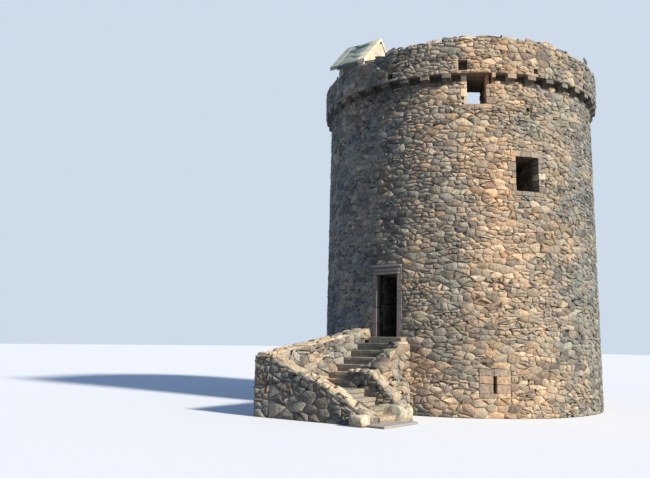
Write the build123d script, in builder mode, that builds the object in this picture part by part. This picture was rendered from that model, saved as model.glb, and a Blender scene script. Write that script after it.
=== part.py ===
"""A round tower keep of rubble masonry, with a forestair to its first-floor door.

Millimetres. The origin is on the tower's axis at ground level, +Z is up, and the
entrance door faces -Y. Angles are in degrees, anticlockwise from +X seen from above.
The tower stands open to the sky: its timber floors and its roof are gone. A vaulted
cellar carries the hall floor, and a ring of corbels carries the parapet. A small
gabled cap-house stands on the wall walk.
"""

from build123d import *
from math import atan, cos, pi, radians, sin, tan
import os

# Tower shell
base_radius = 4420
wall_batter = 80
hall_wall = 1820
floor_ledge = 150
hall_height = 3070
second_height = 2600
third_height = 1880

# Cellar and the floor above it
cellar_side_wall = 3020
cellar_end_wall = 2120
cellar_floor_depth = 120
cellar_head = 2030
vault_cover = 180
vault_rise = 700
hall_floor_depth = 100

# Dressed stone round the openings
dressing_depth = 300
dressing_proud = 25

# Entrance door, towards -Y
door_angle = -90
door_width = 700
door_inner_width = 800
door_height = 1800
door_jamb = 150
door_lintel_height = 210
hood_depth = 60
hood_height = 70
threshold_left = 450
threshold_right = 650
threshold_tread = 230
threshold_drop = 180

# Third-floor window under the parapet
high_angle = -54.9
high_width = 550
high_inner_width = 700
high_sill_height = 1010

# Second-floor window
second_window_angle = -35.6
second_window_width = 730
second_window_inner_width = 900
second_window_sill_height = 1090
second_window_height = 1010

# Windows of the sides that the photograph doesn't show
back_angle = 90
back_width = 600
back_inner_width = 1000
hall_window_sill_height = 1120
hall_window_height = 950
back_high_sill_height = 600
back_high_height = 800
left_angle = 180
left_window_height = 950

# Putlog hole, where a scaffold pole stood in the wall
putlog_angle = -34.5
putlog_sill_height = 860
putlog_width = 120
putlog_height = 130
putlog_depth = 300

window_jamb = 150
window_lintel_height = 170
window_sill_height = 130

# Cellar slit
slit_angle = -50
slit_width = 100
slit_inner_width = 420
slit_sill = 660
slit_height = 460
slit_jamb = 380
slit_lintel_height = 190
slit_sill_height = 120

# Cellar door at the back
cellar_door_width = 750
cellar_door_height = 1600
cellar_door_jamb = 180
cellar_lintel_height = 220

# Corbel course and parapet
corbel_pitch = 8
corbel_angle = 3.4
corbel_start = -50
corbel_height = 280
corbel_tail = 350
corbel_nose = 130
parapet_reach = 204
parapet_thickness = 450
cap_parapet_height = 820
parapet_heights = (
    *(930, 900, 960, 1000, 985, 940, 910, 880, 860, 845),
    *(cap_parapet_height, cap_parapet_height),
    *(950, 1035, 1020, 925),
)
flag_count = 20
flag_depth = 80
flag_joint = 12

# Drain holes through the parapet at the wall walk
drain_start = -60
drain_count = 13
drain_width = 150
drain_height = 160
big_drain_width = 260
big_drain_height = 310

# Cap-house
cap_near_x = -850
cap_length = 1300
cap_height = 1950
cap_pitch = 47
cap_wall = 250
cap_depth = 1764
cap_outer_eave = 915
cap_eave_inset = 94
cap_inner_eave = 860
skew_depth = 90
skew_overhang = 30
roof_depth = 80
roof_drop = 50
cap_door_offset = 35
cap_door_width = 600
cap_door_height = 1240

# Forestair
riser = 195
slab_depth = 110
nosing = 25
lower_foot_x = 1500
lower_going = 350
lower_treads = 3
upper_treads = 5
upper_going = 240
top_landing_depth = 430
step_right_top_x = 450
step_right_foot_x = -80
stair_right_x = 750
right_wall_front_top = 1260
inner_wall_thickness = 400
inner_wall_end_x = 1650
inner_wall_bend_x = 650
inner_wall_top = 1200
inner_wall_end_top = 280
left_wall_x = -550
left_wall_lean = 0.268
left_wall_thickness = 480
left_wall_front_top = 1590
left_wall_back_top = 2330
front_wall_end_x = 1450
front_wall_skew = 0.0905
front_wall_thickness = 440
front_wall_tops = ((-1300, 1540), (-600, 1180), (100, 960), (800, 580), (1450, 200))
lower_width = 890
foot_slab_length = 500
foot_slab_width = 1500
foot_slab_depth = 60
foot_slab_overlap = 100

# Levels and radii that follow from the sizes above
head_radius = base_radius - wall_batter
hall_radius = base_radius - hall_wall
second_radius = hall_radius + floor_ledge
third_radius = second_radius + floor_ledge
cellar_half_width = base_radius - cellar_side_wall
cellar_half_length = base_radius - cellar_end_wall
vault_crown = cellar_head - vault_cover
vault_springing = vault_crown - vault_rise
hall_level = cellar_head + hall_floor_depth
second_level = hall_level + hall_height
third_level = second_level + second_height
wall_head = third_level + third_height
walk_level = wall_head + flag_depth
dressing_back = head_radius - dressing_depth

# Openings
door_top = hall_level + door_height
high_sill = third_level + high_sill_height
second_window_sill = second_level + second_window_sill_height
second_window_top = second_window_sill + second_window_height
hall_window_sill = hall_level + hall_window_sill_height
hall_window_top = hall_window_sill + hall_window_height
back_high_sill = third_level + back_high_sill_height
back_high_top = back_high_sill + back_high_height
left_window_sill = second_window_sill
left_window_top = left_window_sill + left_window_height
slit_top = slit_sill + slit_height
cellar_door_top = cellar_door_height

# Parapet and cap-house
corbel_base = wall_head - corbel_height
head_step = head_radius - corbel_tail
parapet_radius = head_radius + parapet_reach
parapet_inner = parapet_radius - parapet_thickness
parapet_tops = [wall_head + height for height in parapet_heights]
cap_far_x = cap_near_x - cap_length
cap_inner_y = -parapet_radius + cap_depth
cap_ridge_y = -parapet_radius + cap_eave_inset + cap_outer_eave
cap_apex = walk_level + cap_height
cap_door_y = cap_ridge_y + cap_door_offset

# Forestair
landing_level = (lower_treads + 1) * riser
top_landing_level = landing_level + (upper_treads + 1) * riser
landing_front_x = lower_foot_x - lower_treads * lower_going
threshold_reach = base_radius + threshold_tread
top_landing_front = -base_radius - top_landing_depth
upper_foot_y = top_landing_front - upper_treads * upper_going
inner_wall_front = upper_foot_y - 50
inner_wall_back = inner_wall_front + inner_wall_thickness
front_wall_face = inner_wall_front - lower_width
foot_slab_back = inner_wall_front + foot_slab_overlap
foot_slab_front = foot_slab_back - foot_slab_width
clear = 500  # how far a cutting shape runs past what it cuts


def outer_radius(z):
    """The tower's radius at a height: its face leans in a little all the way up."""
    return base_radius + (head_radius - base_radius) * z / wall_head


def radial_plane(angle):
    """The upright plane through the tower's axis at an angle, with x outwards."""
    a = radians(angle)
    return Plane(origin=(0, 0, 0), x_dir=(cos(a), sin(a), 0), z_dir=(sin(a), -cos(a), 0))


def column_plane(angle, level):
    """A level plane whose x runs outwards along an opening's middle line."""
    a = radians(angle)
    return Plane(origin=(0, 0, level), x_dir=(cos(a), sin(a), 0), z_dir=(0, 0, 1))


def outline(points):
    """A closed straight-sided face in the sketch that is open."""
    Polygon(*points, align=None)


def save(part, label):
    """Names a finished piece and writes it to its file."""
    part.label = label
    export_step(part, f"parts/{label}.step")


def gather(pieces, label):
    """Saves several solids that don't touch as one node."""
    with BuildPart() as node:
        for piece in pieces:
            add(piece)
    save(node.part, label)


def wall_profile():
    """Half section of the tower wall above the cellar, with its two inside ledges."""
    outline(
        [
            (hall_radius, cellar_head),
            (outer_radius(cellar_head), cellar_head),
            (outer_radius(corbel_base), corbel_base),
            (head_step, corbel_base),
            (head_step, wall_head),
            (third_radius, wall_head),
            (third_radius, third_level),
            (second_radius, third_level),
            (second_radius, second_level),
            (hall_radius, second_level),
        ]
    )


class Opening:
    """A door or window: where it stands, how wide it is and how its sides splay."""

    def __init__(self, angle, width, inner_width, inner_radius, jamb):
        self.angle = angle
        self.half = width / 2
        self.inner_half = inner_width / 2
        self.inner_radius = inner_radius
        self.jamb = jamb

    def half_at(self, reach):
        """Half the passage's width at a distance from the tower's axis."""
        splay = (self.inner_half - self.half) / (dressing_back - self.inner_radius)
        return self.half + splay * (dressing_back - reach)

    def passage(self):
        """Plan of the open passage, from inside the room to outside the wall."""
        start = self.inner_radius - clear
        outline(
            [
                (base_radius + clear, self.half),
                (dressing_back, self.half),
                (start, self.half_at(start)),
                (start, -self.half_at(start)),
                (dressing_back, -self.half),
                (base_radius + clear, -self.half),
            ]
        )

    def column(self):
        """Plan of the passage with the dressed stones on each side of it."""
        start = self.inner_radius - clear
        edge = self.half + self.jamb
        outline(
            [
                (base_radius + clear, edge),
                (dressing_back, edge),
                (dressing_back, self.half),
                (start, self.half_at(start)),
                (start, -self.half_at(start)),
                (dressing_back, -self.half),
                (dressing_back, -edge),
                (base_radius + clear, -edge),
            ]
        )

    def surround(self):
        """Plan of the dressed stones alone, across the opening too."""
        edge = self.half + self.jamb
        outline(
            [
                (dressing_back, -edge),
                (base_radius + clear, -edge),
                (base_radius + clear, edge),
                (dressing_back, edge),
            ]
        )


door = Opening(door_angle, door_width, door_inner_width, hall_radius, door_jamb)
high_window = Opening(high_angle, high_width, high_inner_width, third_radius, window_jamb)
second_window = Opening(
    second_window_angle,
    second_window_width,
    second_window_inner_width,
    second_radius,
    window_jamb,
)
back_window = Opening(back_angle, back_width, back_inner_width, hall_radius, window_jamb)
left_window = Opening(left_angle, back_width, back_inner_width, second_radius, window_jamb)
slit = Opening(
    slit_angle,
    slit_width,
    slit_inner_width,
    cellar_half_width / cos(radians(slit_angle)),
    slit_jamb,
)
cellar_door = Opening(
    back_angle,
    cellar_door_width,
    cellar_door_width,
    cellar_half_length,
    cellar_door_jamb,
)


def carve(opening, plan, low, high, mode=Mode.SUBTRACT):
    """Cuts, adds or keeps an opening's plan between two levels."""
    with BuildSketch(column_plane(opening.angle, low)) as profile:
        plan(opening)
    extrude(profile.sketch, amount=high - low, mode=mode)


def tower_wall(start, end, openings):
    """A length of the tower's wall, without the columns of the openings beside it."""
    with BuildPart() as wall:
        with BuildSketch(radial_plane(start)):
            wall_profile()
        revolve(axis=Axis.Z, revolution_arc=end - start)
        for opening in openings:
            carve(opening, Opening.column, cellar_head - clear, wall_head + clear)
    return wall.part


def wall_fill(opening, low, high, dressing_low, dressing_high):
    """Masonry in an opening's column, with room for the dressed stone beside it."""
    reach = 20
    with BuildPart() as fill:
        with BuildSketch(radial_plane(opening.angle - reach)):
            wall_profile()
        revolve(axis=Axis.Z, revolution_arc=2 * reach)
        carve(opening, Opening.column, low, high, Mode.INTERSECT)
        if dressing_high > dressing_low:
            carve(opening, Opening.surround, dressing_low, dressing_high)
    return fill.part


def dressed_stone(opening, low, high, with_opening=False):
    """A dressed stone across an opening, or the two beside it, proud of the wall."""
    with BuildPart() as stone:
        carve(opening, Opening.surround, low, high, Mode.ADD)
        with Locations((0, 0, low)):
            Cone(
                outer_radius(low) + dressing_proud,
                outer_radius(high) + dressing_proud,
                high - low,
                align=(Align.CENTER, Align.CENTER, Align.MIN),
                mode=Mode.INTERSECT,
            )
        if with_opening:
            carve(opening, Opening.passage, low - clear, high + clear)
    return stone.part


def cellar_piece(low_x, high_x, low_y, high_y):
    """A block of the cellar storey: a rectangle of the plan, out to the round face."""
    with BuildPart() as block:
        Cone(
            outer_radius(0),
            outer_radius(cellar_head),
            cellar_head,
            align=(Align.CENTER, Align.CENTER, Align.MIN),
        )
        with BuildSketch(Plane.XY):
            outline([(low_x, low_y), (high_x, low_y), (high_x, high_y), (low_x, high_y)])
        extrude(amount=cellar_head, mode=Mode.INTERSECT)
    return block


def cut_tower():
    """Takes the tower's own body away from a stair piece that leans on it."""
    Cone(
        outer_radius(0),
        outer_radius(wall_head),
        wall_head,
        align=(Align.CENTER, Align.CENTER, Align.MIN),
        mode=Mode.SUBTRACT,
    )


os.makedirs("parts", exist_ok=True)

# Cellar: floor, walls, and the barrel vault that runs from front to back
far = base_radius + clear

with BuildPart() as cellar_floor:
    with BuildSketch(Plane.XY):
        Rectangle(2 * cellar_half_width, 2 * cellar_half_length)
    extrude(amount=cellar_floor_depth)
save(cellar_floor.part, "cellar_floor")

cellar_left = cellar_piece(-far, -cellar_half_width, -far, far)
save(cellar_left.part, "cellar_wall_left")

cellar_front = cellar_piece(-cellar_half_width, cellar_half_width, -far, -cellar_half_length)
save(cellar_front.part, "cellar_wall_front")

cellar_right = cellar_piece(cellar_half_width, far, -far, far)
with cellar_right:
    carve(slit, Opening.column, -clear, cellar_head + clear)
save(cellar_right.part, "cellar_wall_right")

with BuildPart() as cellar_at_slit:
    for low, high, dressing_low, dressing_high in (
        (0, slit_sill, slit_sill - slit_sill_height, slit_sill),
        (slit_top, cellar_head, slit_top, slit_top + slit_lintel_height),
    ):
        block = cellar_piece(cellar_half_width, far, -far, far)
        with block:
            carve(slit, Opening.column, low, high, Mode.INTERSECT)
            carve(slit, Opening.surround, dressing_low, dressing_high)
        add(block.part)
save(cellar_at_slit.part, "cellar_wall_at_slit")

cellar_back = cellar_piece(-cellar_half_width, cellar_half_width, cellar_half_length, far)
with cellar_back:
    carve(cellar_door, Opening.column, -clear, cellar_head + clear)
save(cellar_back.part, "cellar_wall_back")

with BuildPart() as cellar_vault:
    with BuildSketch(Plane.XZ.offset(-cellar_half_length)):
        with BuildLine():
            ThreePointArc(
                (-cellar_half_width, vault_springing),
                (0, vault_crown),
                (cellar_half_width, vault_springing),
            )
            Polyline(
                (cellar_half_width, vault_springing),
                (cellar_half_width, cellar_head),
                (-cellar_half_width, cellar_head),
                (-cellar_half_width, vault_springing),
            )
        make_face()
    extrude(amount=2 * cellar_half_length)
save(cellar_vault.part, "cellar_vault")

with BuildPart() as hall_floor:
    with BuildSketch(Plane.XY.offset(cellar_head)):
        Circle(hall_radius)
    extrude(amount=hall_floor_depth)
save(hall_floor.part, "hall_floor")

# Tower wall, in lengths that meet at the columns of the openings
wall_lengths = {
    "wall_beside_door": (
        (225, door_angle + 360, (door,)),
        (door_angle, high_angle, (door, high_window)),
    ),
    "wall_between_windows": (
        (high_angle, second_window_angle, (high_window, second_window)),
    ),
    "wall_right_front": ((second_window_angle, 5, (second_window,)),),
    "wall_right": ((5, 45, ()),),
    "wall_back": (
        (45, back_angle, (back_window,)),
        (back_angle, 135, (back_window,)),
    ),
    "wall_left": (
        (135, left_angle, (left_window,)),
        (left_angle, 225, (left_window,)),
    ),
}
for label, lengths in wall_lengths.items():
    gather([tower_wall(*length) for length in lengths], label)

with BuildPart() as over_second_window:
    add(
        wall_fill(
            second_window,
            second_window_top,
            wall_head,
            second_window_top,
            second_window_top + window_lintel_height,
        )
    )
    with BuildSketch(column_plane(putlog_angle, third_level + putlog_sill_height)):
        with Locations((outer_radius(wall_head), 0)):
            Rectangle(2 * putlog_depth, putlog_width)
    extrude(amount=putlog_height, mode=Mode.SUBTRACT)

over_openings = [
    wall_fill(door, door_top, wall_head, door_top, door_top + door_lintel_height),
    over_second_window.part,
    wall_fill(
        left_window,
        left_window_top,
        wall_head,
        left_window_top,
        left_window_top + window_lintel_height,
    ),
    wall_fill(
        back_window,
        back_high_top,
        wall_head,
        back_high_top,
        back_high_top + window_lintel_height,
    ),
]
gather(over_openings, "wall_over_openings")

under_windows = [
    wall_fill(high_window, cellar_head, high_sill, high_sill - window_sill_height, high_sill),
    wall_fill(
        second_window,
        cellar_head,
        second_window_sill,
        second_window_sill - window_sill_height,
        second_window_sill,
    ),
    wall_fill(
        left_window,
        cellar_head,
        left_window_sill,
        left_window_sill - window_sill_height,
        left_window_sill,
    ),
    wall_fill(
        back_window,
        cellar_head,
        hall_window_sill,
        hall_window_sill - window_sill_height,
        hall_window_sill,
    ),
]
gather(under_windows, "wall_under_windows")

with BuildPart() as between_back_windows:
    add(
        wall_fill(
            back_window,
            hall_window_top,
            back_high_sill,
            hall_window_top,
            hall_window_top + window_lintel_height,
        )
    )
    carve(back_window, Opening.surround, back_high_sill - window_sill_height, back_high_sill)
save(between_back_windows.part, "wall_between_back_windows")

over_cellar_door = cellar_piece(-far, far, cellar_half_length, far)
with over_cellar_door:
    carve(cellar_door, Opening.column, cellar_door_top, cellar_head, Mode.INTERSECT)
    carve(
        cellar_door,
        Opening.surround,
        cellar_door_top,
        cellar_door_top + cellar_lintel_height,
    )
save(over_cellar_door.part, "cellar_wall_over_door")

# Dressed stone round the doors and windows
gather(
    [
        dressed_stone(door, hall_level, door_top, True),
        dressed_stone(cellar_door, 0, cellar_door_top, True),
    ],
    "door_jambs",
)
gather(
    [
        dressed_stone(door, door_top, door_top + door_lintel_height),
        dressed_stone(cellar_door, cellar_door_top, cellar_door_top + cellar_lintel_height),
    ],
    "door_lintels",
)

hood_base = door_top + door_lintel_height
with BuildPart() as door_hood:
    carve(door, Opening.surround, hood_base, hood_base + hood_height, Mode.ADD)
    with Locations((0, 0, hood_base)):
        Cylinder(
            outer_radius(hood_base) + hood_depth,
            hood_height,
            align=(Align.CENTER, Align.CENTER, Align.MIN),
            mode=Mode.INTERSECT,
        )
        Cylinder(
            outer_radius(hood_base),
            hood_height,
            align=(Align.CENTER, Align.CENTER, Align.MIN),
            mode=Mode.SUBTRACT,
        )
save(door_hood.part, "door_hood")

with BuildPart() as door_threshold:
    with BuildSketch(Plane.XY.offset(hall_level - threshold_drop)):
        outline(
            [
                (-threshold_left, -threshold_reach),
                (threshold_right, -threshold_reach),
                (threshold_right, -head_step),
                (-threshold_left, -head_step),
            ]
        )
    extrude(amount=threshold_drop)
    cut_tower()
    add(wall_fill(door, cellar_head, hall_level, hall_level, hall_level))
save(door_threshold.part, "door_threshold")

gather(
    [
        dressed_stone(high_window, high_sill, wall_head, True),
        dressed_stone(second_window, second_window_sill, second_window_top, True),
        dressed_stone(left_window, left_window_sill, left_window_top, True),
        dressed_stone(back_window, hall_window_sill, hall_window_top, True),
        dressed_stone(back_window, back_high_sill, back_high_top, True),
        dressed_stone(slit, slit_sill, slit_top, True),
    ],
    "window_jambs",
)
gather(
    [
        dressed_stone(opening, top, top + height)
        for opening, top, height in (
            (second_window, second_window_top, window_lintel_height),
            (left_window, left_window_top, window_lintel_height),
            (back_window, hall_window_top, window_lintel_height),
            (back_window, back_high_top, window_lintel_height),
            (slit, slit_top, slit_lintel_height),
        )
    ],
    "window_lintels",
)
gather(
    [
        dressed_stone(opening, sill - height, sill)
        for opening, sill, height in (
            (high_window, high_sill, window_sill_height),
            (second_window, second_window_sill, window_sill_height),
            (left_window, left_window_sill, window_sill_height),
            (back_window, hall_window_sill, window_sill_height),
            (back_window, back_high_sill, window_sill_height),
            (slit, slit_sill, slit_sill_height),
        )
    ],
    "window_sills",
)

# Corbel course: single stones with rounded undersides, and the wall between them


def ring_piece(start, arc, profile):
    """A length of ring round the tower's axis, from a half section."""
    with BuildPart() as piece:
        with BuildSketch(radial_plane(start)):
            profile()
        revolve(axis=Axis.Z, revolution_arc=arc)
    return piece.part


def corbel_profile():
    """Half section of a corbel, from its tail in the wall to its nose."""
    reach = parapet_radius - head_radius
    with BuildLine() as edge:
        Polyline(
            (head_radius, corbel_base),
            (head_step, corbel_base),
            (head_step, wall_head),
            (parapet_radius, wall_head),
            (parapet_radius, wall_head - corbel_nose),
        )
        SagittaArc(
            (parapet_radius, wall_head - corbel_nose),
            (head_radius, corbel_base),
            -reach / 5,
        )
    make_face(edge.edges())


def infill_profile():
    """Half section of the wall between two corbels."""
    outline(
        [
            (head_step, corbel_base),
            (head_radius, corbel_base),
            (head_radius, wall_head),
            (head_step, wall_head),
        ]
    )


with BuildPart() as corbel_stones:
    for i in range(360 // corbel_pitch):
        start = corbel_start + i * corbel_pitch - corbel_angle / 2
        add(ring_piece(start, corbel_angle, corbel_profile))
    carve(high_window, Opening.column, corbel_base - clear, wall_head + clear)
save(corbel_stones.part, "corbel_stones")

with BuildPart() as corbel_infill:
    for i in range(360 // corbel_pitch):
        start = corbel_start + i * corbel_pitch + corbel_angle / 2
        add(ring_piece(start, corbel_pitch - corbel_angle, infill_profile))
    carve(high_window, Opening.column, corbel_base - clear, wall_head + clear)
save(corbel_infill.part, "corbel_infill")

# Wall walk and parapet


def flag_profile():
    """Half section of a flag of the wall walk."""
    outline(
        [
            (third_radius, wall_head),
            (parapet_inner, wall_head),
            (parapet_inner, walk_level),
            (third_radius, walk_level),
        ]
    )


flag_arc = 360 / flag_count
joint_arc = flag_joint / parapet_inner * 180 / pi
gather(
    [
        ring_piece(i * flag_arc, flag_arc - joint_arc, flag_profile)
        for i in range(flag_count)
    ],
    "wall_walk_flags",
)


def drain(angle, width, height):
    """Cuts a drain hole through the parapet at the level of the wall walk."""
    with BuildSketch(column_plane(angle, walk_level)) as hole:
        with Locations((parapet_radius, 0)):
            Rectangle(3 * parapet_thickness, width)
    extrude(hole.sketch, amount=height, mode=Mode.SUBTRACT)


parapet_arc = 360 / len(parapet_tops)
drain_arc = 360 / drain_count
parapet_lengths = []
for i, top in enumerate(parapet_tops):
    with BuildPart() as parapet:
        with BuildSketch(radial_plane(i * parapet_arc)):
            outline(
                [
                    (parapet_inner, wall_head),
                    (parapet_radius, wall_head),
                    (parapet_radius, top),
                    (parapet_inner, top),
                ]
            )
        revolve(axis=Axis.Z, revolution_arc=parapet_arc)
        drain(drain_start, big_drain_width, big_drain_height)
        for j in range(1, drain_count):
            drain(drain_start + j * drain_arc, drain_width, drain_height)
    parapet_lengths.append(parapet.part)
parapet_nodes = 4
for i in range(parapet_nodes):
    gather(parapet_lengths[i::parapet_nodes], f"parapet_{i + 1}")

# Cap-house on the wall walk, over the stair's head
cap_slope = tan(radians(cap_pitch))
skew_drop = skew_depth / cos(radians(cap_pitch))
slab_drop = roof_depth / cos(radians(cap_pitch))
cap_parapet_top = wall_head + cap_parapet_height
outer_eave_y = cap_ridge_y - cap_outer_eave
inner_eave_y = cap_ridge_y + cap_inner_eave


def roof_slice(start, length, top_drop, bottom_drop, sides):
    """Part of the roof's two slopes, between two depths below the skews' top line."""
    with BuildPart() as part:
        for side in sides:
            eave = outer_eave_y if side < 0 else inner_eave_y
            fall = abs(eave - cap_ridge_y) * cap_slope
            with BuildSketch(Plane.YZ.offset(start)):
                outline(
                    [
                        (cap_ridge_y, cap_apex - top_drop),
                        (eave, cap_apex - top_drop - fall),
                        (eave, cap_apex - bottom_drop - fall),
                        (cap_ridge_y, cap_apex - bottom_drop),
                    ]
                )
            extrude(amount=length)
    return part.part


def under_roof(bottom_drop):
    """Section of the cap-house below the underside of its slabs."""
    top = cap_apex - bottom_drop
    outline(
        [
            (cap_inner_y, walk_level),
            (cap_inner_y, top - (cap_inner_y - cap_ridge_y) * cap_slope),
            (cap_ridge_y, top),
            (outer_eave_y - clear, top - (cap_outer_eave + clear) * cap_slope),
            (outer_eave_y - clear, walk_level),
        ]
    )


def cap_masonry(start, length, drop):
    """A length of the cap-house's body, from the walk and the parapet to its roof."""
    with BuildPart() as piece:
        with BuildSketch(Plane.YZ.offset(start)) as section:
            under_roof(drop)
        extrude(section.sketch, amount=length)
        Cylinder(parapet_radius, 3 * cap_apex, mode=Mode.INTERSECT)
        with BuildSketch(Plane.XY.offset(walk_level)) as ring:
            Circle(base_radius + clear)
            Circle(parapet_inner, mode=Mode.SUBTRACT)
        extrude(ring.sketch, amount=cap_parapet_top - walk_level, mode=Mode.SUBTRACT)
    return piece.part


with BuildPart() as cap_gables:
    add(cap_masonry(cap_near_x - cap_wall, cap_wall, skew_drop))
    with BuildSketch(Plane.XY.offset(walk_level)):
        with Locations((cap_near_x, cap_door_y)):
            Rectangle(3 * cap_wall, cap_door_width)
    extrude(amount=cap_door_height, mode=Mode.SUBTRACT)
    add(cap_masonry(cap_far_x, cap_wall, skew_drop))
save(cap_gables.part, "cap_house_gables")

with BuildPart() as cap_walls:
    add(cap_masonry(cap_far_x + cap_wall, cap_length - 2 * cap_wall, roof_drop + slab_drop))
    with BuildSketch(Plane.XY.offset(walk_level)):
        with Locations((0, cap_inner_y - cap_wall)):
            Rectangle(
                2 * base_radius,
                base_radius,
                align=(Align.CENTER, Align.MAX),
            )
        Circle(parapet_radius - cap_wall, mode=Mode.INTERSECT)
    extrude(amount=cap_apex, mode=Mode.SUBTRACT)
save(cap_walls.part, "cap_house_walls")

gather(
    [
        roof_slice(cap_near_x - cap_wall, cap_wall + skew_overhang, 0, skew_drop, (-1, 1)),
        roof_slice(cap_far_x - skew_overhang, cap_wall + skew_overhang, 0, skew_drop, (-1, 1)),
    ],
    "cap_house_skews",
)
for label, side in (("outer", -1), ("inner", 1)):
    slope = roof_slice(
        cap_far_x + cap_wall,
        cap_length - 2 * cap_wall,
        roof_drop,
        roof_drop + slab_drop,
        (side,),
    )
    save(slope, f"cap_house_roof_{label}")


# Forestair, up to the first-floor door: a lower flight along the wall, a quarter
# landing, and an upper flight towards the door


def left_face_x(y):
    """The left wall's inner face, which leans away from the tower."""
    return left_wall_x - left_wall_lean * (-head_radius - y)


def front_face_y(x):
    """The front wall's inner face."""
    return front_wall_face - front_wall_skew * (front_wall_end_x - x)


def step_right_x(y):
    """The right side of the upper flight, which narrows towards its foot."""
    climb = (y - upper_foot_y) / (top_landing_front - upper_foot_y)
    return step_right_foot_x + (step_right_top_x - step_right_foot_x) * climb


def step_block(points, low, high):
    """Adds a block with a given plan between two levels."""
    with BuildSketch(Plane.XY.offset(low)) as plan:
        outline(points)
    extrude(plan.sketch, amount=high - low)


def lower_plan(front_x, back_x):
    """Plan of a lower step between its two side walls."""
    return [
        (front_x, inner_wall_front),
        (front_x, front_face_y(front_x)),
        (back_x, front_face_y(back_x)),
        (back_x, inner_wall_front),
    ]


def upper_plan(front_y, back_y):
    """Plan of an upper step between the left wall and the right one."""
    return [
        (left_face_x(front_y), front_y),
        (step_right_x(front_y), front_y),
        (step_right_x(back_y), back_y),
        (left_face_x(back_y), back_y),
    ]


corner_y = (
    front_wall_face
    - front_wall_skew * (front_wall_end_x - left_wall_x - left_wall_lean * head_radius)
) / (1 - front_wall_skew * left_wall_lean)
corner_x = left_face_x(corner_y)


def landing_plan(front_x):
    """Plan of the quarter landing."""
    return [
        (front_x, inner_wall_front),
        (front_x, front_face_y(front_x)),
        (corner_x, corner_y),
        (left_face_x(upper_foot_y), upper_foot_y),
        (step_right_foot_x, upper_foot_y),
        (step_right_foot_x, inner_wall_front),
    ]


def top_landing_plan(front_y):
    """Plan of the top landing, in front of the door."""
    return [
        (left_face_x(front_y), front_y),
        (step_right_x(front_y), front_y),
        (step_right_top_x, top_landing_front),
        (step_right_top_x, -head_step),
        (left_wall_x, -head_step),
        (left_wall_x, -head_radius),
    ]


lower_lines = [lower_foot_x - i * lower_going for i in range(lower_treads + 1)]
upper_lines = [upper_foot_y + i * upper_going for i in range(upper_treads + 1)]

with BuildPart() as stair_core_lower:
    for i in range(lower_treads):
        plan = lower_plan(lower_lines[i], lower_lines[i + 1])
        step_block(plan, 0, (i + 1) * riser - slab_depth)
    step_block(landing_plan(landing_front_x), 0, landing_level - slab_depth)
save(stair_core_lower.part, "stair_core_lower")

with BuildPart() as stair_core_upper:
    for i in range(upper_treads):
        plan = upper_plan(upper_lines[i], upper_lines[i + 1])
        step_block(plan, 0, landing_level + (i + 1) * riser - slab_depth)
    step_block(top_landing_plan(top_landing_front), 0, top_landing_level - slab_depth)
    cut_tower()
save(stair_core_upper.part, "stair_core_upper")

with BuildPart() as stair_treads:
    for i in range(lower_treads):
        plan = lower_plan(lower_lines[i] + nosing, lower_lines[i + 1])
        step_block(plan, (i + 1) * riser - slab_depth, (i + 1) * riser)
    step_block(
        landing_plan(landing_front_x + nosing),
        landing_level - slab_depth,
        landing_level,
    )
    for i in range(upper_treads):
        plan = upper_plan(upper_lines[i] - nosing, upper_lines[i + 1])
        level = landing_level + (i + 1) * riser
        step_block(plan, level - slab_depth, level)
    step_block(
        top_landing_plan(top_landing_front - nosing),
        top_landing_level - slab_depth,
        top_landing_level,
    )
    cut_tower()
save(stair_treads.part, "stair_treads")

with BuildPart() as foot_slab:
    step_block(
        [
            (lower_foot_x, foot_slab_front),
            (lower_foot_x + foot_slab_length, foot_slab_front),
            (lower_foot_x + foot_slab_length, foot_slab_back),
            (inner_wall_end_x, foot_slab_back),
            (inner_wall_end_x, inner_wall_front),
            (lower_foot_x, inner_wall_front),
        ],
        0,
        foot_slab_depth,
    )
save(foot_slab.part, "stair_foot_slab")

left_wall_width = left_wall_thickness / cos(atan(left_wall_lean))
front_corner_y = (
    front_wall_face
    - front_wall_thickness
    - front_wall_skew * (front_wall_end_x - left_wall_x - left_wall_lean * head_radius)
) / (1 - front_wall_skew * left_wall_lean)
front_corner_x = left_face_x(front_corner_y)


def front_outer_y(x):
    """The front wall's outer face."""
    return front_face_y(x) - front_wall_thickness


with BuildPart() as stair_left_wall:
    outer_corner_x = front_corner_x - left_wall_width
    step_block(
        [
            (left_wall_x, -head_step),
            (left_wall_x, -head_radius),
            (front_corner_x, front_corner_y),
            (outer_corner_x, front_outer_y(outer_corner_x)),
            (left_wall_x - left_wall_width, -head_radius),
            (left_wall_x - left_wall_width, -head_step),
        ],
        0,
        left_wall_back_top,
    )
    with BuildSketch(Plane.YZ):
        outline(
            [
                (-head_radius, left_wall_back_top),
                (front_corner_y, left_wall_front_top),
                (front_corner_y - clear, left_wall_front_top),
                (front_corner_y - clear, left_wall_back_top + clear),
                (-head_radius, left_wall_back_top + clear),
            ]
        )
    extrude(amount=base_radius, both=True, mode=Mode.SUBTRACT)
    cut_tower()
save(stair_left_wall.part, "stair_left_wall")

with BuildPart() as stair_front_wall:
    step_block(
        [
            (corner_x, corner_y),
            (front_corner_x, front_corner_y),
            (front_wall_end_x, front_outer_y(front_wall_end_x)),
            (front_wall_end_x, front_wall_face),
        ],
        0,
        left_wall_back_top,
    )
    with BuildSketch(Plane.XZ.offset(-front_corner_y - clear)):
        outline([(-base_radius, 0), (-base_radius, front_wall_tops[0][1]), *front_wall_tops]
            + [(front_wall_end_x, 0)])
    extrude(amount=2 * clear, both=True, mode=Mode.INTERSECT)
save(stair_front_wall.part, "stair_front_wall")

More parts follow.
